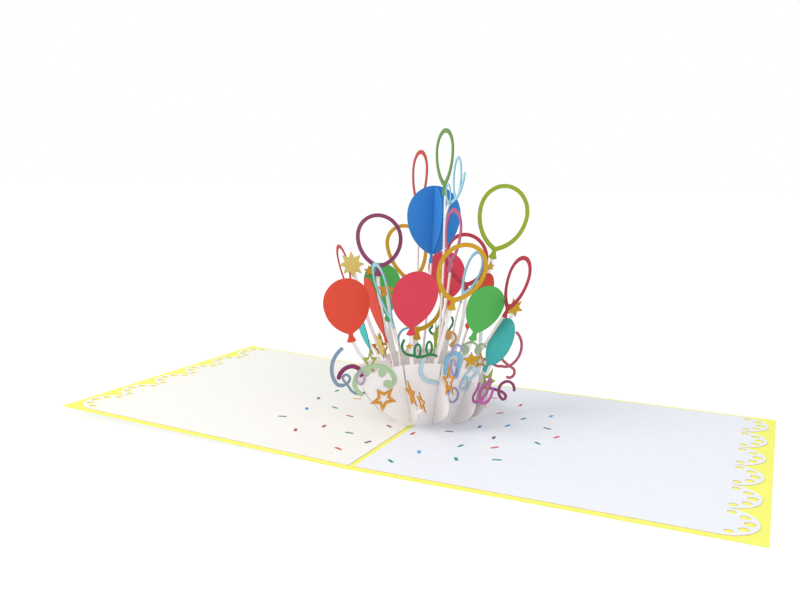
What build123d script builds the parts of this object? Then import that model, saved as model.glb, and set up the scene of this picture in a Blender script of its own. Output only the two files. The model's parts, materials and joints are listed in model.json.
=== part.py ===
from build123d import *
import os
from math import atan2, cos, degrees, radians, sin, sqrt, tan

# Driving dimensions in millimetres and degrees
PANEL = 150.0            # side of one square panel of the card
COVER_T = 0.4            # thickness of the folded cover
LINER_T = 0.3            # thickness of a liner
LIFT = 1.83              # how far the left panel stands off the table
EDGE_MARGIN = 2.6        # cover left showing beside a liner, near and far
TIP_MARGIN = 3.0         # cover left showing beyond the scallop tips
FOLD_GAP = 2.6           # bare strip along the fold
BEND_GAP = 0.2           # from the left liner to the line where the cover bends up
SCALLOPS = 6             # half-round scallops along each outer edge
HOLES = 5                # holes along each scallop
HOLE_R = 2.0             # radius of the middle hole, the others are a little smaller
SLICE_T = 0.45           # thickness of a white slice
PIECE_T = 0.4            # thickness of a coloured piece
SLOT_CLEAR = 0.12        # play on each side of a crossing slice
CROSS_H = 15.0           # height where the slots of two slices meet
BAND = 1.9               # width of a ring balloon's band
NECK = 1.2               # half width of a balloon's neck
KNOT_W = 2.2             # half width of a knot's flare
KNOT_H = 4.1             # height of a knot
STEM_W = 1.7             # width of a stem
SAGE_GAP = 0.822         # from the green balloon's knot down to the sage streamer's middle line
BLUE_H = 31.0            # height of the two blue halves that cross each other

FLOOR = COVER_T + LINER_T
CREASE = FOLD_GAP / 2 - BEND_GAP
DIAG = sqrt(0.5)
ALONG_A = Vector(DIAG, DIAG, 0)
ALONG_B = Vector(DIAG, -DIAG, 0)
UP = Vector(0, 0, 1)

os.makedirs("parts", exist_ok=True)


def slice_plane(family, offset, tilt):
    """Plane of a slice: x runs along the slice, y runs up it, z faces the front."""
    run, across = (ALONG_A, ALONG_B) if family == "p" else (ALONG_B, ALONG_A)
    rise = across * sin(radians(tilt)) + UP * cos(radians(tilt))
    return Plane(origin=across * offset + UP * FLOOR, x_dir=run, z_dir=run.cross(rise))


# Slices fan out from the middle: family, offset from the card's centre, tilt
FAN = {
    "p_front": ("p", 10, 14),
    "p_middle": ("p", 0, 0),
    "p_rear": ("p", -10, -17),
    "p_last": ("p", -20, -23),
    "q_left": ("q", -10, -14),
    "q_middle": ("q", 0, 1.6),
    "q_right": ("q", 10, 17),
    "q_last": ("q", 20, 23),
}
SLICES = {name: slice_plane(*fan) for name, fan in FAN.items()}


def heading(angle):
    return Vector(cos(radians(angle)), sin(radians(angle)))


def put(flat, x, y, turn=0):
    return Location((x, y, 0), (0, 0, turn)) * flat


def save(shape, name):
    export_step(shape, f"parts/{name}.step")


def seat(plane, flat, low, high):
    """Extrude a flat outline between two distances from a slice plane."""
    return extrude(plane.offset(low) * flat, amount=high - low)


# Card: one folded cover and two liners

def left_side(shape):
    return shape.rotate(Axis((-CREASE, 0, 0), (0, 1, 0)), LIFT)


def folded(low, high):
    """Folded sheet between two heights above the underside, the left panel lifted."""
    lift = radians(LIFT)
    crease = Vector(-CREASE, 0)
    edge = crease + Vector(-cos(lift), sin(lift)) * (PANEL - CREASE)
    rise = Vector(sin(lift), cos(lift))
    mitre = Vector(tan(lift / 2), 1)
    corners = [(PANEL, low), (PANEL, high)]
    for spot in (crease + mitre * high, edge + rise * high, edge + rise * low, crease + mitre * low):
        corners.append((spot.X, spot.Y))
    front = Plane((0, -PANEL / 2, 0), x_dir=(1, 0, 0), z_dir=(0, -1, 0))
    return extrude(front * make_face(Polyline(*corners, close=True)), amount=-PANEL)


def liner_flat():
    """Liner of the right panel: half-round scallops on the outer edge, each with an arc of holes."""
    half = PANEL / 2 - EDGE_MARGIN
    radius = half / SCALLOPS
    cusp = PANEL - TIP_MARGIN - radius
    edges = [Polyline((cusp, half), (FOLD_GAP / 2, half), (FOLD_GAP / 2, -half), (cusp, -half))]
    holes = Sketch()
    for index in range(SCALLOPS):
        middle = -half + (2 * index + 1) * radius
        tip = (cusp + radius, middle)
        edges.append(ThreePointArc((cusp, middle - radius), tip, (cusp, middle + radius)))
        for step in range(HOLES):
            turn = (step - (HOLES - 1) / 2) * 36
            spot = Vector(cusp, middle) + heading(turn) * (radius * 0.74)
            holes += put(Circle(HOLE_R * (1 - abs(turn) / 360)), spot.X, spot.Y)
    return make_face(edges) - holes


def liner():
    return extrude(Plane.XY.offset(COVER_T) * liner_flat(), amount=LINER_T)


right_liner = liner()
left_liner = left_side(mirror(right_liner, about=Plane.YZ))
save(folded(0, COVER_T), "card_cover")
save(right_liner, "card_liner_right")
save(left_liner, "card_liner_left")


# Outlines of the coloured pieces, drawn in the plane of their slice

def teardrop(half, tall, neck):
    """Balloon body standing on its neck: a half-round crown, and sides that leave it as tangent arcs."""
    wide = tall - half
    crown = ThreePointArc((half, wide), (0, tall), (-half, wide))
    side = TangentArc((half, wide), (neck, 0), tangent=(0, -1))
    return make_face([crown, side, mirror(side, about=Plane.YZ), Line((-neck, 0), (neck, 0))])


def knot(neck):
    """Flared knot below the neck, with a rounded end."""
    corner = 0.6 - KNOT_H
    flare = Polyline((-neck, 0.3), (-neck * 0.85, -1.0), (-KNOT_W, corner))
    end = ThreePointArc((-KNOT_W, corner), (0, -KNOT_H), (KNOT_W, corner))
    return make_face([flare, mirror(flare, about=Plane.YZ), Line((-neck, 0.3), (neck, 0.3)), end])


def balloon(width, tall):
    return teardrop(width / 2, tall, NECK) + knot(NECK)


def ring(width, tall):
    hole = teardrop(width / 2 - BAND, tall - 2 * BAND, 0.1)
    return balloon(width, tall) - put(hole, 0, BAND)


def star(points, outer, inner, squeeze=1):
    """Star with one point up; a squeeze below 1 makes it narrower than it is tall."""
    corners = []
    for index in range(2 * points):
        reach = outer if index % 2 == 0 else inner
        corner = heading(90 + index * 180 / points) * reach
        corners.append((corner.X * squeeze, corner.Y))
    return make_face(Polyline(*corners, close=True))


def open_star(points, outer, inner, squeeze=1):
    return star(points, outer, inner, squeeze) - star(points, outer * 0.55, inner * 0.55, squeeze)


def ribbon(points, start, width):
    """Flat streamer: tangent arcs through a few points, leaving the first one at a heading."""
    flat = put(Circle(width / 2), *points[0]) + put(Circle(width / 2), *points[-1])
    angle = start
    for here, there in zip(points, points[1:]):
        chord = Vector(*there) - Vector(*here)
        turn = (degrees(atan2(chord.Y, chord.X)) - angle + 180) % 360 - 180
        side = 1 if turn > 0 else -1
        bow = chord.length / 2 / sin(radians(abs(turn)))
        centre = Vector(*here) + heading(angle + 90 * side) * bow
        middle = (centre.X, centre.Y)
        outer = CenterArc(middle, bow + width / 2, angle - 90 * side, 2 * turn)
        inner = CenterArc(middle, bow - width / 2, angle - 90 * side, 2 * turn)
        flat += make_face([outer, inner, Line(outer @ 0, inner @ 0), Line(outer @ 1, inner @ 1)])
        angle += 2 * turn
    return flat


def coil(x, y, half, tall, turn, width):
    """One loop of a streamer, an upright oval."""
    return put(Ellipse(half, tall) - Ellipse(half - width, tall - width), x, y, turn)


def drop(x, y, turn=0):
    return put(Ellipse(1.7, 2.3), x, y, turn)


# Stems are part of their slice; each runs from the rim to a coloured piece

STEMS = {name: [] for name in SLICES}


def stem(place, foot, tip, lean):
    """White stem from a foot point to a tip point, leaning with the piece at the tip."""
    foot, tip = Vector(*foot), Vector(*tip)
    bend = tip - heading(90 - lean) * ((tip - foot).length * 0.5)
    side = (tip - foot).normalized().rotate(Axis.Z, -90) * (STEM_W / 2)
    left = Bezier(foot - side, bend - side, tip - side)
    right = Bezier(foot + side, bend + side, tip + side)
    ends = [Line(foot - side, foot + side), Line(tip - side, tip + side)]
    STEMS[place].append(make_face([left, right] + ends))


def glue(name, place, flat):
    """Coloured piece, glued to the front face of its slice."""
    save(seat(SLICES[place], flat, SLICE_T / 2, SLICE_T / 2 + PIECE_T), name)


def balloon_on(name, place, shape, x, y, lean, width, tall, foot, bend=None):
    """Balloon or ring with its neck at x, y, on a stem that ends behind its knot."""
    glue(name, place, put(shape(width, tall), x, y, -lean))
    tip = Vector(x, y) + heading(90 - lean) * (0.4 if shape is ring else 3.0)
    stem(place, foot, (tip.X, tip.Y), lean if bend is None else bend)


# Solid balloons
balloon_on("balloon_orange_red_left", "p_middle", balloon, -36.4, 42.1, -8, 21.4, 25.1, (-26, 26))
balloon_on("balloon_crimson_front", "p_front", balloon, -15.7, 49.7, 0, 20.8, 25.5, (-13, 29))
green_y, green_lean = 45.4, 14
balloon_on("balloon_green_right", "p_front", balloon, 14.9, green_y, green_lean, 18, 22.5, (11, 25))
balloon_on("balloon_orange_red_back", "q_right", balloon, -2.5, 46.5, 18, 16.5, 25, (-2, 26))
balloon_on("balloon_green_back", "p_last", balloon, -5.8, 47, -2, 19.5, 26.5, (-4, 25))
balloon_on("balloon_crimson_back", "p_last", balloon, 28.4, 53.2, 5, 20.5, 26, (20, 24))
balloon_on("balloon_orange_red_side", "q_left", balloon, 0, 42.2, -19, 17.5, 27, (4, 25))
balloon_on("balloon_teal_back", "q_left", balloon, -31, 29.5, -26, 13, 18, (-25, 22))
balloon_on("balloon_teal_right", "q_last", balloon, 4.3, 26.7, 12, 21.6, 24, (1, CROSS_H + 1))

# Ring balloons
balloon_on("ring_green_top", "q_middle", ring, 11.5, 108, -6, 19.5, 25, (12, 25))
balloon_on("ring_red_top", "q_middle", ring, -18.3, 97.3, -1, 19.5, 26.8, (-12, 25))
balloon_on("ring_pink", "q_middle", ring, 22, 75.3, 7, 17, 23.8, (8, 26))
balloon_on("ring_purple", "p_rear", ring, -13.4, 70.4, 7, 23.9, 27.3, (-8, 26))
balloon_on("ring_gold_left", "p_last", ring, 9.5, 62.7, -1, 22.8, 31.5, (5, 25))
balloon_on("ring_gold_low", "p_middle", ring, -4.5, 41.5, 5, 23.6, 25.5, (-5, 28))
balloon_on("ring_gold_front", "p_front", ring, 2.2, 60.7, 9, 23.6, 27, (-2.5, 29))
balloon_on("ring_yellow_green", "p_middle", ring, 33.5, 78, 14, 26.5, 31.5, (28, 26))
balloon_on("ring_crimson_middle", "p_rear", ring, 32.4, 60, 7, 23.8, 27.5, (22, 26))
balloon_on("ring_crimson_right", "q_right", ring, 28.9, 57.5, 5, 19.4, 24.5, (7.5, 22), 30)
balloon_on("ring_light_blue_back", "q_right", ring, -18, 57, 14, 18, 23.5, (-9, 25))
balloon_on("ring_light_blue_left", "q_left", ring, 16.5, 52.4, -12, 17.6, 25.7, (9, 22))
balloon_on("ring_red_far_left", "q_left", ring, -43.5, 56.3, 5, 19, 24.3, (-14, 25))

# Blue balloon: two halves slotted into each other, the side one on the stem
blue_neck = 107.9 - BLUE_H
blue_side = put(balloon(22.5, BLUE_H), 0, blue_neck)
blue_face = teardrop(13.0, BLUE_H, NECK)
side_slot = Rectangle(PIECE_T + 2 * SLOT_CLEAR, BLUE_H)
side_slot = put(side_slot, (SLICE_T + PIECE_T) / 2, blue_neck + BLUE_H)
face_slot = put(Rectangle(PIECE_T + SLICE_T + 4 * SLOT_CLEAR, BLUE_H + 0.4), -PIECE_T / 2, 0)
blue_lean = FAN["q_middle"][2]
glue("balloon_blue_side", "q_middle", blue_side - side_slot)
blue_x = blue_neck * tan(radians(blue_lean))
glue("balloon_blue_face", "p_middle", put(blue_face - face_slot, blue_x, blue_neck, -blue_lean))
stem("q_middle", (-6, 26), (0, blue_neck + 3), 4)

# Stars
glue("star_tan", "p_rear", put(star(8, 6.5, 3.7), -26.6, 72.5))
stem("p_rear", (-14, 26), (-26.3, 73), -8)
glue("star_gold_right", "p_middle", put(star(6, 4.8, 2.4), 45.2, 50.4, 8))
stem("p_middle", (33, 24.5), (45, 50.6), 12)
glue("star_orange_back", "p_rear", put(star(5, 4.6, 2.0), -10.3, 59.3, -6))
stem("p_rear", (-5, 27), (-10.3, 59.8), -4)
glue("star_orange_low", "p_front", put(open_star(5, 6.3, 2.9), -25.1, 15.4, 36))
glue("star_orange_side", "q_left", put(star(5, 6.4, 2.7), 21.2, 18.6, 8))
glue("star_orange_fore", "q_left", put(open_star(5, 5.0, 2.2), 33.2, 18.2))
stem("q_left", (17, 9), (33, 16), 50)
glue("star_orange_middle", "q_middle", put(open_star(5, 7.2, 3.0), 27, 24, 14))
stem("q_middle", (20, 16), (25.6, 21.6), 45)
glue("star_gold_cluster", "p_front", put(star(5, 4.2, 1.9), 14.9, 31.6, 4))
glue("star_orange_right", "p_middle", put(open_star(5, 4.0, 1.8), 28.1, 25.4))
glue("star_olive_left", "p_middle", put(open_star(5, 6.6, 2.9, 0.55), -27.2, 28.4))
glue("star_olive_right", "q_last", put(open_star(5, 6.6, 2.9), 10.6, 19.2))
glue("star_tan_side", "q_left", put(star(8, 6.4, 3.4), -9.5, 34.5))
stem("q_left", (-9, 24), (-9, 34), 0)

# Streamers
slate = ribbon([(-40.6, 35.3), (-45.1, 26.5), (-43.2, 20), (-40, 18.6)], 217, 1.7)
slate += ribbon([(-40, 18.6), (-36.9, 20.4), (-38.2, 23.3), (-39.6, 20.9),
                 (-36.4, 16.5), (-27.5, 16.2)], 0, 1.1)
glue("streamer_slate", "p_middle", slate)
glue("streamer_burgundy", "p_middle", ribbon([(-41.8, 22.3), (-36.8, 27), (-31.2, 20.2)], 77, 2.0))
mint = ribbon([(-35.7, 18.6), (-39.2, 25.7), (-35.4, 31), (-28.6, 31.8),
               (-21, 25.2), (-23.3, 21.5)], 149, 2.0)
glue("streamer_mint", "p_front", mint + drop(-34.3, 29.4) + drop(-27, 28.6) + drop(-23.8, 22.6, 60))
dark_green = ribbon([(-18.6, 43.5), (-19.1, 40.1), (-15.2, 36.2), (-10.8, 34.8)], 242, 1.1)
dark_green += ribbon([(-10.8, 34.8), (-6.2, 35.6), (-2.4, 34.8)], 8, 1.1)
dark_green += coil(-11.7, 38, 1.9, 3.7, 6, 1.0) + coil(-6.4, 39, 1.8, 3.6, 6, 1.0)
glue("streamer_dark_green", "p_front", dark_green)
light_blue_arc = ribbon([(-8.3, 33.4), (-9.1, 28.8), (-3.4, 22.1), (-0.8, 21.3)], 245, 1.9)
glue("streamer_light_blue_arc", "p_front", light_blue_arc)
blue_arch = ribbon([(3.2, 25.8), (2.8, 32.2), (6.1, 35.6), (9.4, 32.2), (8.6, 23.7)], 97, 2.0)
glue("streamer_blue_arch", "p_front", blue_arch)
light_blue_curl = ribbon([(12.6, 20.4), (13.4, 24.4), (16.8, 27.3), (19, 25), (13.6, 21.7)], 100, 1.1)
glue("streamer_light_blue_curl", "p_front", light_blue_curl)
sage_top = green_y - KNOT_H * cos(radians(green_lean)) - SAGE_GAP
sage = ribbon([(9.3, -2.8), (13.1, 0), (17.2, -2.7)], 70, 1.1)
sage += ribbon([(17.2, -2.7), (19.2, -1.4), (21.2, -2.8)], 67, 1.1)
glue("streamer_sage", "p_front", put(sage + drop(11.3, -3.6) + drop(17.6, -4.2), 0, sage_top))
brown = ribbon([(6.1, 42), (13.1, 40), (14.9, 37.1), (12.8, 33.5)], 345, 1.1)
glue("streamer_brown", "p_middle", brown + drop(6.6, 40) + drop(11.2, 38.6))
stem("p_middle", (9, 28), (11, 39), 0)
magenta = ribbon([(37.6, 22.9), (34.2, 15.7), (29, 16.3), (29.2, 22.1), (32.2, 26)], 289, 1.5)
magenta += ribbon([(32.2, 26), (34.2, 24.2), (30.9, 16.8), (25.3, 13.8), (23.1, 17), (24.2, 22)], 10, 1.3)
glue("streamer_magenta", "q_right", magenta)
purple = ribbon([(46.7, 9.6), (41.8, 14.2), (38.4, 10.8), (40.2, 5.8),
                 (42.1, 7.4), (40, 9.3), (27.4, 12.6)], 84, 1.4)
glue("streamer_purple", "p_middle", purple)
red_pink = ribbon([(47, 38.1), (49.9, 31.1), (44.9, 22.5), (39.5, 22.1)], 317, 1.3)
red_pink += ribbon([(39.5, 22.1), (33.8, 24.4), (37.8, 27.6), (45.3, 20.8), (42.7, 16.4)], 185, 1.3)
glue("streamer_red_pink", "p_middle", red_pink)
bow = coil(25, 111.8, 4.4, 9, 0, 1.3) + ribbon([(16.5, 101), (25, 103.3), (32.2, 113.5)], 0, 1.3)
glue("streamer_light_blue_top", "q_middle", bow)
stem("q_middle", (12.6, 92), (18.4, 101.6), 60)


# White slices: a bowl outline with the stems, slots for the crossing slices, flat seat on the card

def bowl(left, right, rim):
    """Outline of a slice: its two sides through a few points each, and a rim that arches between them."""
    base = -2.0
    side_left, side_right = Spline(*left), Spline(*right)
    (x_left, _), (x_right, _) = left[0], right[0]
    over = ThreePointArc(side_right @ 1, ((left[-1][0] + right[-1][0]) / 2, rim), side_left @ 1)
    foot = Polyline(left[0], (x_left, base), (x_right, base), right[0])
    return make_face([foot, side_left, side_right, over])


BOWLS = {
    "p_front": bowl([(-12, 0), (-28, 12), (-38, 26)], [(18, 0), (20, 10), (20, 24)], 31.5),
    "p_middle": bowl([(-13, 0), (-26, 9), (-33, 25)], [(13, 0), (26, 9), (35, 25)], 31),
    "p_rear": bowl([(-13, 0), (-24, 9), (-27, 24)], [(13, 0), (25, 8), (33, 24)], 30),
    "p_last": bowl([(-8, 0), (-18, 9), (-20, 22)], [(11, 0), (22, 8), (28, 22)], 28),
    "q_left": bowl([(-15, 0), (-27, 8), (-35, 22)],
                   [(6, 0), (16, 4), (23, 9.5), (18.5, 16), (13.5, 24)], 29),
    "q_middle": bowl([(-14, 0), (-26, 8), (-33, 24)],
                     [(11, 0), (20, 4), (28, 12), (25, 18), (13.5, 24)], 29),
    "q_right": bowl([(-12, 0), (-20, 7), (-22, 24)],
                    [(12, 0), (22, 4), (27, 10), (23.5, 17), (14, 21)], 29),
    "q_last": bowl([(-8, 0), (-18, 8), (-18, CROSS_H + 3)],
                   [(7, 0), (16, 8), (12, CROSS_H + 3)], CROSS_H + 6),
}


def slot(name, other):
    """Slot in one slice for another: from the top in the first family, from below in the second."""
    family, _, own = FAN[name]
    _, offset, tilt = FAN[other]
    own, tilt = radians(own), radians(tilt)
    slope = tan(tilt) * cos(own)
    half = SLICE_T / 2 * (1 + abs(sin(tilt) * sin(own))) / cos(tilt) + SLOT_CLEAR
    low, high = (CROSS_H, rim_top) if family == "p" else (-5, CROSS_H)
    low, high = low / cos(own), high / cos(own)
    start, end = offset + slope * low, offset + slope * high
    corners = [(start - half, low), (start + half, low), (end + half, high), (end - half, high)]
    return make_face(Polyline(*corners, close=True))


rim_top = max(flat.bounding_box().max.Y for flat in BOWLS.values()) + 2
APART = [{"p_front", "q_last"}, {"p_last", "q_right"}, {"p_last", "q_last"}]   # pairs that don't meet
below = folded(-20, FLOOR)
for name, plane in SLICES.items():
    flat = BOWLS[name]
    for piece in STEMS[name]:
        flat += piece
    for other in SLICES:
        if other[0] != name[0] and {name, other} not in APART:
            flat -= slot(name, other)
    body = seat(plane, flat, -SLICE_T / 2, SLICE_T / 2)
    save(body - below, f"slice_{name}")
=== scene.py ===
"""Finishes, printed confetti, stage and camera for an open pop-up card with paper balloons."""
import json
import math

import bmesh
import bpy
from bpy.props import FloatProperty, FloatVectorProperty, IntProperty, PointerProperty
from mathutils import Matrix, Vector


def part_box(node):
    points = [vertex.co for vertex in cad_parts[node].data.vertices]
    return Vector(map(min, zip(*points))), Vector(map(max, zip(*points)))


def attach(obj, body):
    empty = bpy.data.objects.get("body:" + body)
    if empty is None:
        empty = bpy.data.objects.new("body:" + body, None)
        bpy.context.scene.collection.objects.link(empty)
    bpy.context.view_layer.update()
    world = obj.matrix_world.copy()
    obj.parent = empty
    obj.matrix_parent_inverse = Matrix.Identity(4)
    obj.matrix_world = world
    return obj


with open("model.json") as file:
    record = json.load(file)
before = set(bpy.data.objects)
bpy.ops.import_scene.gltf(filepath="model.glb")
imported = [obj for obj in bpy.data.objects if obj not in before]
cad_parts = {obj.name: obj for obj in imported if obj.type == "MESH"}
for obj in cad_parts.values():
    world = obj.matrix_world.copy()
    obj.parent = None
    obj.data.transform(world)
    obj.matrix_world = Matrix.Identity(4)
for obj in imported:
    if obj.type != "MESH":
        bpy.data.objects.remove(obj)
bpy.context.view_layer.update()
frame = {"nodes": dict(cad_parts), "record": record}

bl_info = {
    "name": "Pop-up Card Finishes",
    "version": (1, 0, 0),
    "blender": (4, 5, 0),
    "location": "View3D > Sidebar > Pop-up Card",
    "description": "Dresses the sheets of an open pop-up card, prints its confetti and sets its stage",
    "category": "Object",
}

# One millimetre in the scene's metres
MM = 0.001
# Material slot of each solid
SLOT_OF = {part["node"]: part["material_slot"] for part in frame["record"]["subparts"]}


def linear(code):
    """Linear colour of an sRGB hex code."""
    parts = [int(code[i:i + 2], 16) / 255 for i in (0, 2, 4)]
    return tuple(c / 12.92 if c <= 0.04045 else ((c + 0.055) / 1.055) ** 2.4 for c in parts)


def colour(name, what, code):
    """Colour property whose default is an sRGB hex code."""
    return FloatVectorProperty(name=name, description=what, subtype="COLOR", size=3,
                               min=0.0, max=1.0, default=linear(code))


def length(name, what, millimetres):
    """Length property whose default is in millimetres."""
    return FloatProperty(name=name, description=what, subtype="DISTANCE", unit="LENGTH",
                         precision=5, default=millimetres * MM)


def angle(name, what, degrees):
    """Angle property whose default is in degrees."""
    return FloatProperty(name=name, description=what, subtype="ANGLE", unit="ROTATION",
                         default=math.radians(degrees))


class CARD_PG_colours(bpy.types.PropertyGroup):
    """Colours of the sheets; a paper that has a material slot is named as its slot."""
    card_yellow: colour("Cover", "Folded cover, a felt-marked yellow card", "F1F274")
    card_white: colour("White card", "Right liner, a cool white", "E8EBF2")
    # The left liner's warmer tone is painted yellow bounce light from the closed card, which is left out of
    # the scene
    left_white: colour("Left liner", "Left liner, a white tinted with painted yellow bounce light", "EFEEE9")
    slice_white: colour("White slices", "Slices and stems, a warm white", "ECE8E8")
    paper_orange_red: colour("Orange red", "Orange-red solid balloons", "DB4A34")
    paper_crimson: colour("Crimson", "Crimson solid balloons", "D43E52")
    paper_green: colour("Green", "Green solid balloons", "51AD53")
    paper_teal: colour("Teal", "Teal solid balloons", "42BAB8")
    paper_blue: colour("Blue", "Blue crossed balloon", "2F80CC")
    paper_purple: colour("Purple", "Purple ring and streamer", "8F4569")
    paper_gold: colour("Gold", "Gold rings and stars", "C99A22")
    paper_yellow_green: colour("Yellow green", "Large ring on the right", "92A92D")
    paper_ring_crimson: colour("Deep crimson", "Crimson rings", "B53647")
    paper_pink: colour("Pink", "Pink ring", "B26183")
    paper_light_blue: colour("Light blue", "Light blue rings and streamers", "96CADA")
    paper_leaf_green: colour("Leaf green", "Tallest ring", "6A8F4B")
    paper_red: colour("Red", "Red rings", "BE483F")
    paper_tan: colour("Tan", "Tan stars with many points", "D6BE6C")
    paper_orange: colour("Orange", "Orange stars", "D6922E")
    paper_mint: colour("Mint", "Mint streamer with drops", "A8C49C")
    paper_sage: colour("Sage", "Sage streamer with drops", "9AAD8C")
    paper_slate: colour("Slate", "Slate streamer on the left", "8498AF")
    paper_burgundy: colour("Burgundy", "Burgundy streamer", "8A3664")
    paper_dark_green: colour("Dark green", "Looped dark green streamer", "2B7D4A")
    paper_magenta: colour("Magenta", "Magenta streamer", "B65C9E")
    paper_red_pink: colour("Red pink", "Long curl on the right", "B8576A")
    paper_brown: colour("Brown", "Light brown streamer", "E2A76C")
    paper_olive: colour("Olive", "Open stars low at the sides", "A8B440")
    paper_sky_blue: colour("Sky blue", "Arch at the front", "7BB8D4")
    paper_pale_blue: colour("Pale blue", "Arc and curl on the front slice", "B2D0DE")
    paper_lilac: colour("Lilac", "Small loops around the arch", "9A9EC8")
    paper_mauve: colour("Mauve", "Small loop in the mint streamer", "B7A3BE")
    scorch: colour("Scorch", "Brown left by the cutting beam on white card", "CDBBAC")


class CARD_PG_trim(bpy.types.PropertyGroup):
    """Small trim glued on the slices and on larger pieces."""
    thick: length("Thickness", "Thickness of the trim's paper", 0.4)
    width: length("Ribbon width", "Width of a curled ribbon", 1.1)
    loop: length("Loop width", "Width of the paper of a closed loop", 0.85)
    valley: FloatProperty(name="Valley", description="Radius of a star's valleys as a share of its points'",
                          subtype="FACTOR", min=0.1, max=0.9, default=0.44)
    opening: FloatProperty(name="Opening", description="Hole of an open star as a share of the star",
                           subtype="FACTOR", min=0.1, max=0.9, default=0.62)


class CARD_PG_print(bpy.types.PropertyGroup):
    """Confetti printed on the liners."""
    dash: length("Dash length", "Length of one printed dash", 3.8)
    width: length("Dash width", "Width of one printed dash", 1.45)
    film: length("Ink height", "How far the ink stands on the liner", 0.03)
    spacing: length("Spacing", "Least distance between two dashes", 12.5)
    inner: length("Inner radius", "Bare circle under the pop-up", 21.0)
    outer: length("Outer radius", "Where the confetti ends", 66.0)
    seed: IntProperty(name="Seed", description="Seed of the scatter", default=15, min=0)


class CARD_PG_stage(bpy.types.PropertyGroup):
    """Camera and light."""
    azimuth: angle("Azimuth", "Turn of the camera about the upright axis", 24.826)
    elevation: angle("Elevation", "Height of the camera above the horizon", 8.912)
    roll: angle("Roll", "Tilt of the picture", 0.901)
    distance: length("Distance", "From the card's origin along the view", 388.012)
    across: length("Across", "Shift of the camera across the view", -11.369)
    rise: length("Rise", "Shift of the camera up the view", 55.8)
    lens: FloatProperty(name="Focal length", description="For a sensor 36 mm wide", unit="CAMERA",
                        default=37.15)
    key: FloatProperty(name="Key light", description="Power of the large soft lamp", unit="POWER",
                       default=5.4)
    fill: FloatProperty(name="Fill light", description="Power of the second lamp", unit="POWER", default=2.8)
    sky: FloatProperty(name="Room light", description="Strength of the light from all round", default=0.8)


def add(tree, kind, feeds=None, **settings):
    """Adds one node with its settings; feeds gives a socket a value, or the output that drives it."""
    node = tree.nodes.new(kind)
    for name, value in settings.items():
        setattr(node, name, value)
    for name, value in (feeds or {}).items():
        if isinstance(value, bpy.types.NodeSocket):
            tree.links.new(value, node.inputs[name])
        else:
            node.inputs[name].default_value = value
    return node


def shade(tone, factor):
    """RGBA of a linear colour made darker or lighter."""
    return tuple(min(1.0, c * factor) for c in tone) + (1.0,)


def new_surface(name):
    """Material with an empty node tree: the material, its tree and its object coordinates."""
    material = bpy.data.materials.new(name)
    material.use_nodes = True
    tree = material.node_tree
    tree.nodes.clear()
    return material, tree, add(tree, "ShaderNodeTexCoord").outputs["Object"]


def uncoated_white_card(name, tone, scorch):
    """Uncoated white card, calendered: flat white with a faint tooth, and a few pinprick scorch marks."""
    cloud_size, mark_spacing = 7 * MM, 8 * MM
    # A mark's core and rim as shares of the spacing, and how strongly it shows
    mark_core, mark_rim, mark_strength = 0.028, 0.05, 0.55
    # The real tooth is about 0.1 mm; drawn at 0.45 mm so that it shows
    tooth_size, tooth_depth = 0.45 * MM, 0.05 * MM
    material, tree, place = new_surface(f"Uncoated white card, {name}")
    cloud = add(tree, "ShaderNodeTexNoise", {"Vector": place, "Scale": 1 / cloud_size, "Detail": 3.0})
    base = add(tree, "ShaderNodeMix", {"Factor": cloud.outputs["Fac"], "A": shade(tone, 0.95),
                                       "B": shade(tone, 1.0)}, data_type="RGBA")
    marks = add(tree, "ShaderNodeTexVoronoi", {"Vector": place, "Scale": 1 / mark_spacing, "Randomness": 1.0})
    prick = add(tree, "ShaderNodeMapRange",
                {"Value": marks.outputs["Distance"], "From Min": mark_core, "From Max": mark_rim,
                 "To Min": mark_strength, "To Max": 0.0})
    paint = add(tree, "ShaderNodeMix", {"Factor": prick.outputs["Result"], "A": base.outputs["Result"],
                                        "B": shade(scorch, 1.0)}, data_type="RGBA")
    tooth = add(tree, "ShaderNodeTexNoise", {"Vector": place, "Scale": 1 / tooth_size, "Detail": 2.0})
    bump = add(tree, "ShaderNodeBump",
               {"Height": tooth.outputs["Fac"], "Strength": 0.12, "Distance": tooth_depth})
    skin = add(tree, "ShaderNodeBsdfPrincipled",
               {"Base Color": paint.outputs["Result"], "Roughness": 0.82, "Specular IOR Level": 0.3,
                "Normal": bump.outputs["Normal"]})
    add(tree, "ShaderNodeOutputMaterial", {"Surface": skin.outputs["BSDF"]})
    return material


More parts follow.
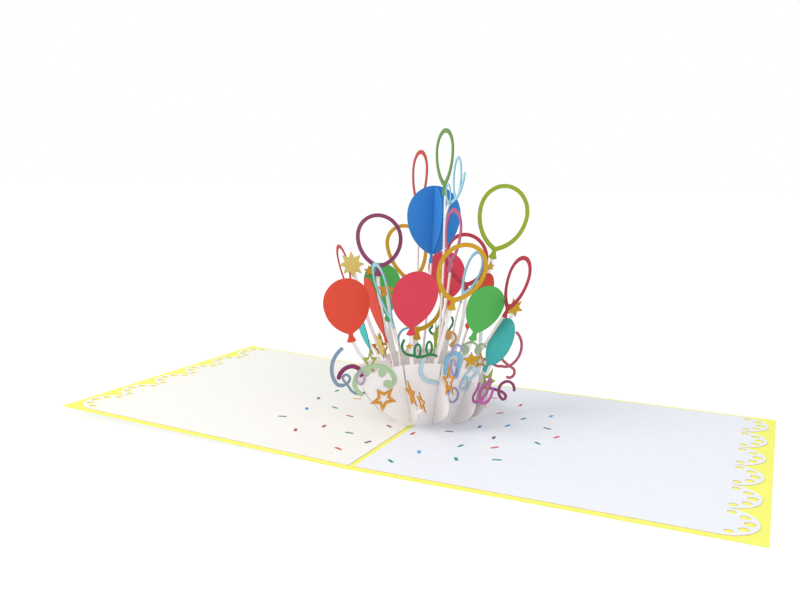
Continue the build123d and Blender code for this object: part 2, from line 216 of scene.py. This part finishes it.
def felt_marked_card(tone):
    """Yellow card with felt-side marks: strong matte colour with soft clouds and short pale fibres."""
    cloud_size, fibre_width, fibre_depth = 5 * MM, 0.9 * MM, 0.08 * MM
    # Turn of the fibres in radians, and the scale along them that draws them out
    fibre_turn, fibre_draw = 0.5, 0.35
    material, tree, place = new_surface("Felt-marked yellow card")
    cloud = add(tree, "ShaderNodeTexNoise",
                {"Vector": place, "Scale": 1 / cloud_size, "Detail": 4.0, "Roughness": 0.6})
    stretch = add(tree, "ShaderNodeMapping",
                  {"Vector": place, "Rotation": (0, 0, fibre_turn), "Scale": (fibre_draw, 1, 1)})
    fibres = add(tree, "ShaderNodeTexNoise",
                 {"Vector": stretch.outputs["Vector"], "Scale": 1 / fibre_width, "Detail": 3.0,
                  "Distortion": 1.2})
    base = add(tree, "ShaderNodeMix", {"Factor": cloud.outputs["Fac"], "A": shade(tone, 0.88),
                                       "B": shade(tone, 1.06)}, data_type="RGBA")
    strand = add(tree, "ShaderNodeMapRange",
                 {"Value": fibres.outputs["Fac"], "From Min": 0.5, "From Max": 0.75,
                  "To Min": 0.0, "To Max": 0.35})
    paint = add(tree, "ShaderNodeMix", {"Factor": strand.outputs["Result"], "A": base.outputs["Result"],
                                        "B": shade(tone, 1.15)}, data_type="RGBA")
    bump = add(tree, "ShaderNodeBump",
               {"Height": fibres.outputs["Fac"], "Strength": 0.2, "Distance": fibre_depth})
    skin = add(tree, "ShaderNodeBsdfPrincipled",
               {"Base Color": paint.outputs["Result"], "Roughness": 0.85, "Specular IOR Level": 0.3,
                "Normal": bump.outputs["Normal"]})
    add(tree, "ShaderNodeOutputMaterial", {"Surface": skin.outputs["BSDF"]})
    return material


def dyed_paper(name, tone):
    """Paper dyed through: even matte colour with a fine mottle where fibres took more or less dye."""
    # Fibre clumps are about 0.3 mm; drawn at 0.7 mm so that they show
    clump_size, clump_depth = 0.7 * MM, 0.06 * MM
    drift_size = 9 * MM
    material, tree, place = new_surface(f"Dyed paper, {name}")
    mottle = add(tree, "ShaderNodeTexNoise",
                 {"Vector": place, "Scale": 1 / clump_size, "Detail": 3.0, "Roughness": 0.65})
    drift = add(tree, "ShaderNodeTexNoise", {"Vector": place, "Scale": 1 / drift_size, "Detail": 1.0})
    fine = add(tree, "ShaderNodeMix", {"Factor": mottle.outputs["Fac"], "A": shade(tone, 0.86),
                                       "B": shade(tone, 1.12)}, data_type="RGBA")
    paint = add(tree, "ShaderNodeMix", {"Factor": drift.outputs["Fac"], "A": shade(tone, 0.94),
                                        "B": fine.outputs["Result"]}, data_type="RGBA")
    bump = add(tree, "ShaderNodeBump",
               {"Height": mottle.outputs["Fac"], "Strength": 0.15, "Distance": clump_depth})
    skin = add(tree, "ShaderNodeBsdfPrincipled",
               {"Base Color": paint.outputs["Result"], "Roughness": 0.78, "Specular IOR Level": 0.35,
                "Normal": bump.outputs["Normal"]})
    add(tree, "ShaderNodeOutputMaterial", {"Surface": skin.outputs["BSDF"]})
    return material


def beam_cut_edge(name, light, dark):
    """Edge left by the cutting beam: darker than the sheet, scorched unevenly along its run."""
    scorch_size = 1.5 * MM
    material, tree, place = new_surface(f"Beam-cut edge, {name}")
    run = add(tree, "ShaderNodeTexNoise", {"Vector": place, "Scale": 1 / scorch_size, "Detail": 2.0})
    paint = add(tree, "ShaderNodeMix", {"Factor": run.outputs["Fac"], "A": dark, "B": light},
                data_type="RGBA")
    skin = add(tree, "ShaderNodeBsdfPrincipled",
               {"Base Color": paint.outputs["Result"], "Roughness": 0.9, "Specular IOR Level": 0.2})
    add(tree, "ShaderNodeOutputMaterial", {"Surface": skin.outputs["BSDF"]})
    return material


def printed_ink():
    """Matte ink on paper: thin, a little uneven, in the colour that each dash carries."""
    grain_size = 0.4 * MM
    bare_paper = (0.9, 0.9, 0.9, 1.0)
    material, tree, place = new_surface("Printed matte ink")
    ink = add(tree, "ShaderNodeAttribute", attribute_name="ink")
    grain = add(tree, "ShaderNodeTexNoise", {"Vector": place, "Scale": 1 / grain_size, "Detail": 2.0})
    cover = add(tree, "ShaderNodeMapRange",
                {"Value": grain.outputs["Fac"], "From Min": 0.3, "From Max": 0.8,
                 "To Min": 0.0, "To Max": 0.1})
    paint = add(tree, "ShaderNodeMix", {"Factor": cover.outputs["Result"], "A": ink.outputs["Color"],
                                        "B": bare_paper}, data_type="RGBA")
    skin = add(tree, "ShaderNodeBsdfPrincipled",
               {"Base Color": paint.outputs["Result"], "Roughness": 0.7, "Specular IOR Level": 0.3})
    add(tree, "ShaderNodeOutputMaterial", {"Surface": skin.outputs["BSDF"]})
    return material


# Tells a sheet's two sides apart: no sheet of the card lies along it
SKEW = Vector((1.0, 0.37, 0.11))
# How squarely a face points as its sheet does, to be part of the flat sheet and not of its cut edge
SHEET_FACING = 0.7
# The same, to be part of a slice's front face
FRONT_FACING = 0.99


def flat_side(mesh):
    """Direction that most of a sheet's area faces."""
    areas = {}
    for face in mesh.polygons:
        facing = face.normal if face.normal.dot(SKEW) > 0 else -face.normal
        key = tuple(round(c, 2) for c in facing)
        areas[key] = areas.get(key, 0.0) + face.area
    return Vector(max(areas, key=areas.get)).normalized()


def dress(mesh, sheet, edge):
    """Gives a sheet's mesh its finish, and its cut edges theirs."""
    facing = flat_side(mesh)
    mesh.materials.clear()
    mesh.materials.append(sheet)
    mesh.materials.append(edge)
    for face in mesh.polygons:
        face.material_index = 0 if abs(face.normal.dot(facing)) > SHEET_FACING else 1


def meshes_named(*starts):
    """Node names and meshes of the card's pieces whose names start so."""
    return [(node, frame["nodes"][node].data) for node in sorted(frame["nodes"]) if node.startswith(starts)]


def paper_finish(tones, slot):
    """Sheet and edge materials of a coloured paper, made once."""
    name = slot.removeprefix("paper_").replace("_", " ")
    made = bpy.data.materials
    sheet = made.get(f"Dyed paper, {name}")
    if sheet:
        return sheet, made[f"Beam-cut edge, {name}"]
    tone = getattr(tones, slot)
    return dyed_paper(name, tone), beam_cut_edge(name, shade(tone, 0.75), shade(tone, 0.45))


class CARD_OT_dress_card(bpy.types.Operator):
    """Finish the folded cover, the liners and the white slices"""
    bl_idname = "popup_card.dress_card"
    bl_label = "Dress Cover, Liners and Slices"

    def execute(self, context):
        tones = context.scene.card_colours
        yellow = felt_marked_card(tones.card_yellow)
        rim = beam_cut_edge("yellow", shade(tones.card_yellow, 0.95), shade(tones.card_yellow, 0.75))
        dress(frame["nodes"]["card_cover"].data, yellow, rim)
        # The left liner gets a white warmed with painted yellow bounce light from the left-out closed card
        liners = {"card_liner_right": uncoated_white_card("right liner", tones.card_white, tones.scorch),
                  "card_liner_left": uncoated_white_card("left liner", tones.left_white, tones.scorch)}
        warm = uncoated_white_card("slices", tones.slice_white, tones.scorch)
        burnt = beam_cut_edge("white", shade(tones.scorch, 1.25), shade(tones.scorch, 0.85))
        for node, mesh in meshes_named("card_liner", "slice"):
            dress(mesh, liners.get(node, warm), burnt)
        return {"FINISHED"}


class CARD_OT_dress_pieces(bpy.types.Operator):
    """Finish the balloons, rings, stars and streamers in their dyed papers"""
    bl_idname = "popup_card.dress_pieces"
    bl_label = "Dress Coloured Pieces"

    def execute(self, context):
        tones = context.scene.card_colours
        for node, mesh in meshes_named("balloon", "ring", "star", "streamer"):
            dress(mesh, *paper_finish(tones, SLOT_OF[node]))
        return {"FINISHED"}


# Small trim: name, slice, layer of paper on it, colour, kind and its numbers, in millimetres along
# the slice and up it from the liner. A ribbon has the points that it passes through, a loop its middle,
# half width, half height and turn in degrees, a star its middle, radius and sideways squeeze, and a drop
# its middle and radius
TRIM = (
    ("trim_lilac_hook", "p_front", 2, "lilac", "ribbon",
     ((10.3, 37.7), (8.2, 39.2), (6.2, 39.8), (5.1, 37.4), (4.6, 34.7))),
    ("trim_lilac_loop", "p_front", 2, "lilac", "loop", (6.9, 28.2, 1.4, 4.4, 18)),
    ("trim_lilac_low", "p_front", 1, "lilac", "loop", (8.3, 14.2, 2.5, 3.7, 8)),
    ("trim_mauve_loop", "p_front", 2, "mauve", "loop", (-36.7, 26.7, 1.8, 3.2, 5)),
    ("trim_pale_blue_loop", "p_front", 2, "pale_blue", "loop", (13.1, 19.9, 1.6, 3.2, -15)),
    ("trim_gold_small", "p_front", 1, "gold", "star", (-16.0, 40.3, 1.8, 1.0)),
    ("trim_olive_star", "p_middle", 2, "olive", "star", (4.6, 37.6, 9.1, 0.18)),
    ("trim_gold_tip", "p_middle", 1, "gold", "star", (31.9, 70.6, 2.3, 1.0)),
    ("trim_brown_drop", "p_middle", 2, "brown", "drop", (12.8, 34.1, 1.2)),
    ("trim_light_blue_loop", "q_middle", 2, "light_blue", "loop", (17.3, 105.0, 2.2, 4.0, 22)),
    ("trim_gold_open", "p_last", 1, "gold", "open star", (-11.0, 29.0, 9.2, 0.55)),
    ("trim_sky_blue_arc", "p_rear", 1, "sky_blue", "ribbon",
     ((-6.3, 31.9), (-6.1, 36.3), (-4.0, 39.4), (-0.5, 40.7))),
    ("trim_gold_edge", "p_last", 2, "gold", "star", (-12.8, 69.4, 3.2, 0.9)),
    ("trim_dark_green_curl", "p_last", 1, "dark_green", "ribbon",
     ((16.9, 42.0), (17.4, 39.1), (15.7, 37.4), (17.7, 35.2), (20.9, 38.7), (23.5, 42.5), (23.8, 39.6),
      (21.9, 37.6), (24.9, 35.8), (27.5, 38.1), (29.3, 40.9), (28.9, 43.8))),
)
# Steps from one point of a ribbon to the next, and around an oval
CURVE_STEPS = 8
ROUND_STEPS = 32
STAR_POINTS = 5


def smooth_path(points):
    """Points along a smooth curve that passes through a few points."""
    spots = [Vector(point) for point in points]
    path = []
    for i in range(len(spots) - 1):
        a, b, c = spots[max(i - 1, 0)], spots[i], spots[i + 1]
        d = spots[min(i + 2, len(spots) - 1)]
        for step in range(CURVE_STEPS):
            t = step / CURVE_STEPS
            bend = (2 * a - 5 * b + 4 * c - d) * t ** 2 + (3 * b - a - 3 * c + d) * t ** 3
            path.append((2 * b + (c - a) * t + bend) / 2)
    return path + [spots[-1]]


def oval(x, y, half, tall, turn):
    """Points around an oval turned by some degrees."""
    lean = math.radians(turn)
    path = []
    for step in range(ROUND_STEPS):
        t = math.tau * step / ROUND_STEPS
        u, v = half * math.cos(t), tall * math.sin(t)
        path.append(Vector((x + u * math.cos(lean) - v * math.sin(lean),
                            y + u * math.sin(lean) + v * math.cos(lean))))
    return path


def star_outline(x, y, outer, squeeze, valley):
    """Outline of a star, one point up, narrowed sideways."""
    outline = []
    for step in range(2 * STAR_POINTS):
        t = math.pi * (0.5 + step / STAR_POINTS)
        radius = outer * (valley if step % 2 else 1)
        outline.append(Vector((x + squeeze * radius * math.cos(t), y + radius * math.sin(t))))
    return outline


def both_edges(path, width, closed):
    """The two edges of a ribbon along a path."""
    last = len(path) - 1
    left, right = [], []
    for i, spot in enumerate(path):
        ahead = path[(i + 1) % len(path)] if closed else path[min(i + 1, last)]
        behind = path[i - 1] if closed else path[max(i - 1, 0)]
        run = (ahead - behind).normalized()
        across = Vector((-run.y, run.x)) * width / 2
        left.append(spot + across)
        right.append(spot - across)
    return left, right


def trim_rows(kind, numbers, sizes):
    """Rows of points, in millimetres, that bound a trim piece: its two edges, or one outline."""
    if kind == "ribbon":
        return both_edges(smooth_path(numbers), sizes.width / MM, False)
    if kind == "loop":
        return both_edges(oval(*numbers), sizes.loop / MM, True)
    if kind == "drop":
        x, y, radius = numbers
        return [oval(x, y, radius, radius, 0)]
    x, y, outer, squeeze = numbers
    rows = [star_outline(x, y, outer, squeeze, sizes.valley)]
    if kind == "open star":
        rows.append(star_outline(x, y, outer * sizes.opening, squeeze, sizes.valley))
    return rows


def sheet_mesh(name, rows, closed, thick):
    """Sheet of some thickness between two rows of points, or inside one row."""
    shape = bmesh.new()
    corners = [[shape.verts.new((x * MM, y * MM, 0)) for x, y in row] for row in rows]
    if len(corners) == 1:
        shape.faces.new(corners[0])
    else:
        one, two = corners
        for i in range(len(one) if closed else len(one) - 1):
            j = (i + 1) % len(one)
            shape.faces.new((one[i], one[j], two[j], two[i]))
    grown = bmesh.ops.extrude_face_region(shape, geom=shape.faces[:], use_keep_orig=True)["geom"]
    front = [item for item in grown if isinstance(item, bmesh.types.BMVert)]
    bmesh.ops.translate(shape, verts=front, vec=(0, 0, thick))
    bmesh.ops.recalc_face_normals(shape, faces=shape.faces[:])
    mesh = bpy.data.meshes.new(name)
    shape.to_mesh(mesh)
    shape.free()
    return mesh


def slice_front(node):
    """Place on a slice's front face, above its middle at the liner: along it, up it and out of it."""
    mesh = frame["nodes"][node].data
    rough = flat_side(mesh)
    if rough.y > 0:
        rough.negate()
    out = Vector()
    for face in mesh.polygons:
        if face.normal.dot(rough) > FRONT_FACING:
            out += face.normal * face.area
    out.normalize()
    along = Vector((0, 0, 1)).cross(out).normalized()
    rise = out.cross(along)
    reach = max(out.dot(corner.co) for corner in mesh.vertices)
    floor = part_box("card_liner_right")[1].z
    foot = out * reach + rise * ((floor - out.z * reach) / rise.z)
    return Matrix.Translation(foot) @ Matrix((along, rise, out)).transposed().to_4x4()


class CARD_OT_add_trim(bpy.types.Operator):
    """Add the small curls, loops and stars that are glued on the slices"""
    bl_idname = "popup_card.add_trim"
    bl_label = "Add Small Trim"

    def execute(self, context):
        tones, sizes = context.scene.card_colours, context.scene.card_trim
        for name, carrier, layer, paper, kind, numbers in TRIM:
            mesh = sheet_mesh(name, trim_rows(kind, numbers, sizes), kind != "ribbon", sizes.thick)
            lift = Matrix.Translation((0, 0, (layer - 1) * sizes.thick))
            mesh.transform(slice_front(f"slice_{carrier}") @ lift)
            dress(mesh, *paper_finish(tones, f"paper_{paper}"))
            piece = bpy.data.objects.new(name, mesh)
            context.scene.collection.objects.link(piece)
            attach(piece, "root")
        return {"FINISHED"}


INKS = ("2E7FC4", "3A9FDC", "1F8A78", "2C7F5A", "C2482E", "CC3058", "6B4A86", "C8952A", "9A4A34", "7D3F6E")
# Dashes tried on a square metre, before the spacing thins them out
TRIED_DASHES = 60000.0
# How far a dash turns to either side, in radians
MOST_TURN = 1.6


def confetti_tree(material):
    """Geometry Nodes: dashes scattered over a patch, between two circles, each with its own ink."""
    tree = bpy.data.node_groups.new("Printed confetti", "GeometryNodeTree")
    tree.interface.new_socket("Patch", in_out="INPUT", socket_type="NodeSocketGeometry")
    for name in ("Dash", "Width", "Film", "Spacing", "Inner", "Outer"):
        tree.interface.new_socket(name, in_out="INPUT", socket_type="NodeSocketFloat")
    tree.interface.new_socket("Seed", in_out="INPUT", socket_type="NodeSocketInt")
    tree.interface.new_socket("Confetti", in_out="OUTPUT", socket_type="NodeSocketGeometry")
    given = add(tree, "NodeGroupInput").outputs
    spots = add(tree, "GeometryNodeDistributePointsOnFaces",
                {"Mesh": given["Patch"], "Distance Min": given["Spacing"], "Density Max": TRIED_DASHES,
                 "Seed": given["Seed"]}, distribute_method="POISSON")
    here = add(tree, "GeometryNodeInputPosition").outputs["Position"]
    level = add(tree, "ShaderNodeVectorMath", {0: here, 1: (1, 1, 0)}, operation="MULTIPLY")
    reach = add(tree, "ShaderNodeVectorMath", {0: level.outputs["Vector"]}, operation="LENGTH")
    near = add(tree, "FunctionNodeCompare", {"A": reach.outputs["Value"], "B": given["Inner"]},
               operation="LESS_THAN")
    far = add(tree, "FunctionNodeCompare", {"A": reach.outputs["Value"], "B": given["Outer"]},
              operation="GREATER_THAN")
    outside = add(tree, "FunctionNodeBooleanMath", {0: near.outputs["Result"], 1: far.outputs["Result"]},
                  operation="OR")
    kept = add(tree, "GeometryNodeDeleteGeometry",
               {"Geometry": spots.outputs["Points"], "Selection": outside.outputs["Boolean"]}, domain="POINT")
    size = add(tree, "ShaderNodeCombineXYZ", {"X": given["Dash"], "Y": given["Width"], "Z": given["Film"]})
    bar = add(tree, "GeometryNodeMeshCube", {"Size": size.outputs["Vector"]})
    placed = add(tree, "GeometryNodeInstanceOnPoints",
                 {"Points": kept.outputs["Geometry"], "Instance": bar.outputs["Mesh"],
                  "Rotation": spots.outputs["Rotation"]})
    spin = add(tree, "FunctionNodeRandomValue",
               {"Min": (0, 0, -MOST_TURN), "Max": (0, 0, MOST_TURN), "Seed": given["Seed"]},
               data_type="FLOAT_VECTOR")
    turned = add(tree, "GeometryNodeRotateInstances",
                 {"Instances": placed.outputs["Instances"], "Rotation": spin.outputs["Value"]})
    draw = add(tree, "FunctionNodeRandomValue", {"Seed": given["Seed"]}, data_type="FLOAT")
    # Output 1 is the plain number
    palette = add(tree, "ShaderNodeValToRGB", {"Fac": draw.outputs[1]})
    palette.color_ramp.interpolation = "CONSTANT"
    stops = palette.color_ramp.elements
    stops[1].position = 1 / len(INKS)
    for index in range(2, len(INKS)):
        stops.new(index / len(INKS))
    for stop, code in zip(stops, INKS):
        stop.color = linear(code) + (1.0,)
    inked = add(tree, "GeometryNodeStoreNamedAttribute",
                {"Geometry": turned.outputs["Instances"], "Name": "ink", "Value": palette.outputs["Color"]},
                data_type="FLOAT_COLOR", domain="INSTANCE")
    solid = add(tree, "GeometryNodeRealizeInstances", {"Geometry": inked.outputs["Geometry"]})
    painted = add(tree, "GeometryNodeSetMaterial",
                  {"Geometry": solid.outputs["Geometry"], "Material": material})
    add(tree, "NodeGroupOutput", {"Confetti": painted.outputs["Geometry"]})
    return tree


def run_tree(patch, tree, values):
    """Runs a node tree on a patch and leaves its result as the patch's plain mesh."""
    step = patch.modifiers.new("Scatter", "NODES")
    step.node_group = tree
    for socket in tree.interface.items_tree:
        if socket.in_out == "INPUT" and socket.name in values:
            step[socket.identifier] = values[socket.name]
    context = bpy.context
    context.view_layer.update()
    evaluated = patch.evaluated_get(context.evaluated_depsgraph_get())
    result = bpy.data.meshes.new_from_object(evaluated, preserve_all_data_layers=True,
                                             depsgraph=context.evaluated_depsgraph_get())
    patch.modifiers.remove(step)
    patch.data = result


def liner_patch(side, sizes):
    """Patch on a liner's top, at the middle of the ink, from beside the fold to the outer radius."""
    low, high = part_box(f"card_liner_{side}")
    fold_x, rim_x = (high.x, low.x) if side == "left" else (low.x, high.x)
    fold_z, rim_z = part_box("card_liner_right")[1].z, high.z
    near_x = fold_x + math.copysign(sizes.dash, rim_x)
    far_x = math.copysign(sizes.outer, rim_x)
    front, rear = low.y + sizes.dash, high.y - sizes.dash
    corners = [(near_x, front), (far_x, front), (far_x, rear), (near_x, rear)]
    if side == "left":
        # The other way round, so that this patch faces up too
        corners.reverse()
    places = []
    for x, y in corners:
        share = (x - fold_x) / (rim_x - fold_x)
        places.append((x, y, fold_z + (rim_z - fold_z) * share + sizes.film / 2))
    mesh = bpy.data.meshes.new(f"confetti_{side}")
    mesh.from_pydata(places, [], [(0, 1, 2, 3)])
    return bpy.data.objects.new(f"confetti_{side}", mesh)


class CARD_OT_print_confetti(bpy.types.Operator):
    """Print confetti dashes on the two liners, around the pop-up"""
    bl_idname = "popup_card.print_confetti"
    bl_label = "Print Confetti"

    def execute(self, context):
        sizes = context.scene.card_print
        tree = confetti_tree(printed_ink())
        for index, side in enumerate(("left", "right")):
            patch = liner_patch(side, sizes)
            context.scene.collection.objects.link(patch)
            run_tree(patch, tree, {"Dash": sizes.dash, "Width": sizes.width, "Film": sizes.film,
                                   "Spacing": sizes.spacing, "Inner": sizes.inner, "Outer": sizes.outer,
                                   "Seed": sizes.seed + index})
            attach(patch, "root")
        return {"FINISHED"}


WHITE = (1, 1, 1, 1)
# Half the floor's width and its gap under the card
FLOOR_HALF = 6.0
FLOOR_DROP = 0.05 * MM
# Where the lamps point, where they hang and their sizes, in metres
LAMP_AIM = Vector((0, 0, 0.05))
KEY_PLACE, KEY_SIZE = (-0.55, -0.6, 0.75), 0.6
FILL_PLACE, FILL_SIZE = (0.75, -0.7, 0.4), 0.8
# Camera's sensor in millimetres, and the nearest and farthest that it sees in metres
SENSOR_WIDTH = 36.0
NEAREST, FARTHEST = 0.01, 100.0


def seen_ray(tree):
    """One for a ray from the camera, a mirror or glass, and zero for light on its way to a surface."""
    path = add(tree, "ShaderNodeLightPath").outputs
    mirror = add(tree, "ShaderNodeMath", {0: path["Is Camera Ray"], 1: path["Is Glossy Ray"]},
                 operation="MAXIMUM")
    glass = add(tree, "ShaderNodeMath", {0: mirror.outputs["Value"], 1: path["Is Transmission Ray"]},
                operation="MAXIMUM")
    return glass.outputs["Value"]


def studio_white():
    """White sweep: the camera sees it near white, and the card's soft shadow stays on it."""
    # Strength of the glow that the camera sees, and its share of the floor's look
    glow_strength, glow_share = 1.1, 0.8
    material, tree, _ = new_surface("Studio white sweep")
    matte = add(tree, "ShaderNodeBsdfDiffuse", {"Color": (0.86, 0.86, 0.86, 1.0)})
    glow = add(tree, "ShaderNodeEmission", {"Color": WHITE, "Strength": glow_strength})
    share = add(tree, "ShaderNodeMath", {0: seen_ray(tree), 1: glow_share}, operation="MULTIPLY")
    mix = add(tree, "ShaderNodeMixShader", {0: share.outputs["Value"], 1: matte.outputs["BSDF"],
                                            2: glow.outputs["Emission"]})
    add(tree, "ShaderNodeOutputMaterial", {"Surface": mix.outputs["Shader"]})
    return material


def studio_floor():
    """Wide white floor just under the card."""
    corners = [(-FLOOR_HALF, -FLOOR_HALF), (FLOOR_HALF, -FLOOR_HALF),
               (FLOOR_HALF, FLOOR_HALF), (-FLOOR_HALF, FLOOR_HALF)]
    mesh = bpy.data.meshes.new("studio_floor")
    mesh.from_pydata([(x, y, -FLOOR_DROP) for x, y in corners], [], [(0, 1, 2, 3)])
    mesh.materials.append(studio_white())
    return bpy.data.objects.new("studio_floor", mesh)


def studio_room(strength):
    """Room that lights the card evenly from all round, and that the camera sees as plain white."""
    world = bpy.data.worlds.new("Studio room")
    world.use_nodes = True
    tree = world.node_tree
    tree.nodes.clear()
    room = add(tree, "ShaderNodeBackground", {"Color": WHITE, "Strength": strength})
    plain = add(tree, "ShaderNodeBackground", {"Color": WHITE, "Strength": 1.0})
    both = add(tree, "ShaderNodeMixShader", {0: seen_ray(tree), 1: room.outputs["Background"],
                                             2: plain.outputs["Background"]})
    add(tree, "ShaderNodeOutputWorld", {"Surface": both.outputs["Shader"]})
    return world


def soft_lamp(name, place, size, power):
    """Large square lamp aimed at the pop-up."""
    light = bpy.data.lights.new(name, "AREA")
    light.size = size
    light.energy = power
    lamp = bpy.data.objects.new(name, light)
    lamp.location = place
    lamp.rotation_euler = (LAMP_AIM - Vector(place)).to_track_quat("-Z", "Y").to_euler()
    return lamp


def photo_camera(stage):
    """Camera turned, raised, tilted and shifted as the photograph's."""
    a, e = stage.azimuth, stage.elevation
    back = Vector((math.sin(a) * math.cos(e), -math.cos(a) * math.cos(e), math.sin(e)))
    level = Vector((math.cos(a), math.sin(a), 0))
    upright = back.cross(level)
    right = level * math.cos(stage.roll) + upright * math.sin(stage.roll)
    up = upright * math.cos(stage.roll) - level * math.sin(stage.roll)
    eye = back * stage.distance + right * stage.across + up * stage.rise
    view = bpy.data.cameras.new("photo_camera")
    view.sensor_width = SENSOR_WIDTH
    view.lens = stage.lens
    view.clip_start, view.clip_end = NEAREST, FARTHEST
    camera = bpy.data.objects.new("photo_camera", view)
    camera.matrix_world = Matrix.Translation(eye) @ Matrix((right, up, back)).transposed().to_4x4()
    return camera


class CARD_OT_set_stage(bpy.types.Operator):
    """Set the floor, the light and the camera"""
    bl_idname = "popup_card.set_stage"
    bl_label = "Set Stage"

    def execute(self, context):
        scene = context.scene
        stage = scene.card_stage
        floor = studio_floor()
        scene.collection.objects.link(floor)
        scene.world = studio_room(stage.sky)
        scene.collection.objects.link(soft_lamp("key_lamp", KEY_PLACE, KEY_SIZE, stage.key))
        scene.collection.objects.link(soft_lamp("fill_lamp", FILL_PLACE, FILL_SIZE, stage.fill))
        scene.camera = photo_camera(stage)
        scene.collection.objects.link(scene.camera)
        scene.view_settings.view_transform = "Standard"
        return {"FINISHED"}


STEPS = (CARD_OT_dress_card, CARD_OT_dress_pieces, CARD_OT_add_trim, CARD_OT_print_confetti,
         CARD_OT_set_stage)


class CARD_PT_sidebar(bpy.types.Panel):
    """Steps that dress the card"""
    bl_label = "Pop-up Card"
    bl_idname = "CARD_PT_sidebar"
    bl_space_type = "VIEW_3D"
    bl_region_type = "UI"
    bl_category = "Pop-up Card"

    def draw(self, context):
        for step in STEPS:
            self.layout.operator(step.bl_idname)


GROUPS = {"card_colours": CARD_PG_colours, "card_trim": CARD_PG_trim, "card_print": CARD_PG_print,
          "card_stage": CARD_PG_stage}


def register():
    """Adds the classes, and the groups of properties to the scene."""
    for group in GROUPS.values():
        bpy.utils.register_class(group)
    for name, group in GROUPS.items():
        setattr(bpy.types.Scene, name, PointerProperty(type=group))
    for item in STEPS + (CARD_PT_sidebar,):
        bpy.utils.register_class(item)


def unregister():
    """Takes away what register added."""
    for item in reversed(STEPS + (CARD_PT_sidebar,)):
        bpy.utils.unregister_class(item)
    for name, group in GROUPS.items():
        delattr(bpy.types.Scene, name)
        bpy.utils.unregister_class(group)


def main():
    """Dresses the card step by step."""
    register()
    bpy.ops.popup_card.dress_card()
    bpy.ops.popup_card.dress_pieces()
    bpy.ops.popup_card.add_trim()
    bpy.ops.popup_card.print_confetti()
    bpy.ops.popup_card.set_stage()


if __name__ == "__main__":
    main()
